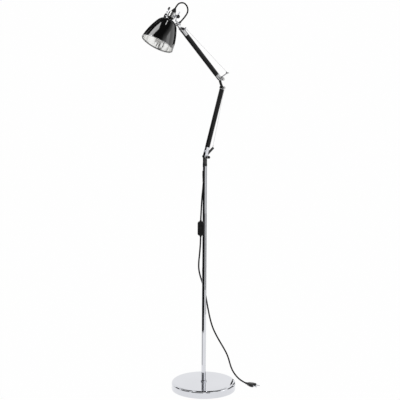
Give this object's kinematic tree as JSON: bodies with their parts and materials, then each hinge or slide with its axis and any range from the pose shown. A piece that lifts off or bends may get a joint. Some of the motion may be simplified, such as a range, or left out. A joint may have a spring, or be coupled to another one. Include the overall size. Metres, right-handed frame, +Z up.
{
  "type": "adjustable arm floor lamp",
  "caption": "Black floor lamp with a bell shade on two spring-balanced arms, on a polished pole and round weighted base.",
  "frame": {"origin": "centre of the base's underside, on the floor", "axes": "+Z up along the pole; the arms lie in the XZ plane with the head towards -X"},
  "size_m": [0.4659, 0.2588, 1.506],
  "materials": {
    "chrome": "polished",
    "satin_chrome": "satin",
    "black_arm": "satin",
    "black_shade": "gloss",
    "black_plastic": "satin",
    "cord": "matte",
    "casting": "satin",
    "steel": "satin",
    "iron": "matte",
    "pad": "matte",
    "bush": "satin",
    "lining": "satin",
    "brass": "satin",
    "glass": "frosted"
  },
  "bodies": {
    "stand": {"base_pad": "pad", "base_weight": "iron", "base_cover": "chrome", "pole_stud": "steel", "pole_nut": "steel", "pole_plug": "bush", "pole_collar": "chrome", "pole_tube": "chrome", "pole_bush": "bush", "cord_outlet": "black_plastic", "mains_cord_upper": "cord", "mains_cord_lower": "cord", "switch_front": "black_plastic", "switch_back": "black_plastic", "plug_body": "black_plastic", "plug_pins": "chrome"},
    "rocker": {"switch_rocker": "black_plastic"},
    "turret": {"swivel_bracket": "casting"},
    "lower_arm": {"lower_tube": "black_arm", "lower_root_fork": "chrome", "lower_tip_fork": "chrome", "lower_spring": "steel", "lower_wire": "steel", "base_bolt": "chrome", "lower_elbow_pin": "satin_chrome"},
    "base_knob": {"base_knob_hub": "satin_chrome", "base_knob_cap": "black_plastic"},
    "elbow": {"elbow_link": "black_arm", "elbow_lever": "chrome"},
    "upper_arm": {"upper_tube": "black_arm", "upper_root_fork": "chrome", "upper_tip_fork": "chrome", "upper_spring": "steel", "upper_wire": "steel", "elbow_bolt": "chrome", "wrist_bolt": "chrome"},
    "elbow_knob": {"elbow_knob_hub": "satin_chrome", "elbow_knob_cap": "satin_chrome"},
    "wrist_knob": {"wrist_knob_grip": "black_plastic"},
    "yoke": {"wrist_knuckle": "chrome", "yoke_rod": "chrome", "yoke_cap": "black_plastic", "yoke_sleeve": "black_plastic", "cord_entry": "black_plastic"},
    "head": {"shade": "black_shade", "reflector": "lining", "shade_collar": "black_plastic", "neck_cup": "satin_chrome", "neck_nut": "steel", "nipple_tube": "brass", "neck_gland": "black_plastic", "head_pivot_pins": "chrome", "lampholder": "black_plastic", "bulb_cap": "brass", "bulb_glass": "glass", "loop_cord": "cord"},
    "tilt_clamp": {"tilt_knob": "black_plastic"}
  },
  "joints": [
    {"name": "arm_swivel", "type": "hinge", "parent": "stand", "child": "turret", "pos_m": [0, 0, 0.888], "axis": [0, 0, 1], "range_deg": [-150, 150]},
    {"name": "base_hinge", "type": "hinge", "parent": "turret", "child": "lower_arm", "pos_m": [0, 0, 0.922], "axis": [0, 1, 0], "range_deg": [-35, 7], "deforming": ["lower_wire"]},
    {"name": "elbow_lower", "type": "hinge", "parent": "lower_arm", "child": "elbow", "pos_m": [0.08419, 0, 1.17959], "axis": [0, 1, 0], "range_deg": [-35, 35]},
    {"name": "elbow_upper", "type": "hinge", "parent": "elbow", "child": "upper_arm", "pos_m": [0.07045, 0, 1.21394], "axis": [0, 1, 0], "range_deg": [-40, 32], "deforming": ["upper_wire"]},
    {"name": "wrist_hinge", "type": "hinge", "parent": "upper_arm", "child": "yoke", "pos_m": [-0.11814, 0, 1.40856], "axis": [0, 1, 0], "range_deg": [-40, 40]},
    {"name": "head_tilt", "type": "hinge", "parent": "yoke", "child": "head", "pos_m": [-0.166, 0, 1.45658], "axis": [0, 1, 0], "range_deg": [-12, 50], "deforming": ["loop_cord"]},
    {"name": "switch_rock", "type": "hinge", "parent": "stand", "child": "rocker", "pos_m": [-0.02794, -0.01015, 0.647], "axis": [0.7604, -0.6494, 0], "range_deg": [-14, 0]},
    {"name": "base_knob_turn", "type": "hinge", "parent": "lower_arm", "child": "base_knob", "pos_m": [0, 0, 0.922], "axis": [0, 1, 0], "range_deg": [-180, 180]},
    {"name": "elbow_knob_turn", "type": "hinge", "parent": "upper_arm", "child": "elbow_knob", "pos_m": [0.07045, 0, 1.21394], "axis": [0, 1, 0], "range_deg": [-180, 180]},
    {"name": "wrist_knob_turn", "type": "hinge", "parent": "upper_arm", "child": "wrist_knob", "pos_m": [-0.11814, 0, 1.40856], "axis": [0, 1, 0], "range_deg": [-180, 180]},
    {"name": "tilt_knob_turn", "type": "hinge", "parent": "head", "child": "tilt_clamp", "pos_m": [-0.166, 0, 1.45658], "axis": [0, 1, 0], "range_deg": [-180, 180]}
  ]
}
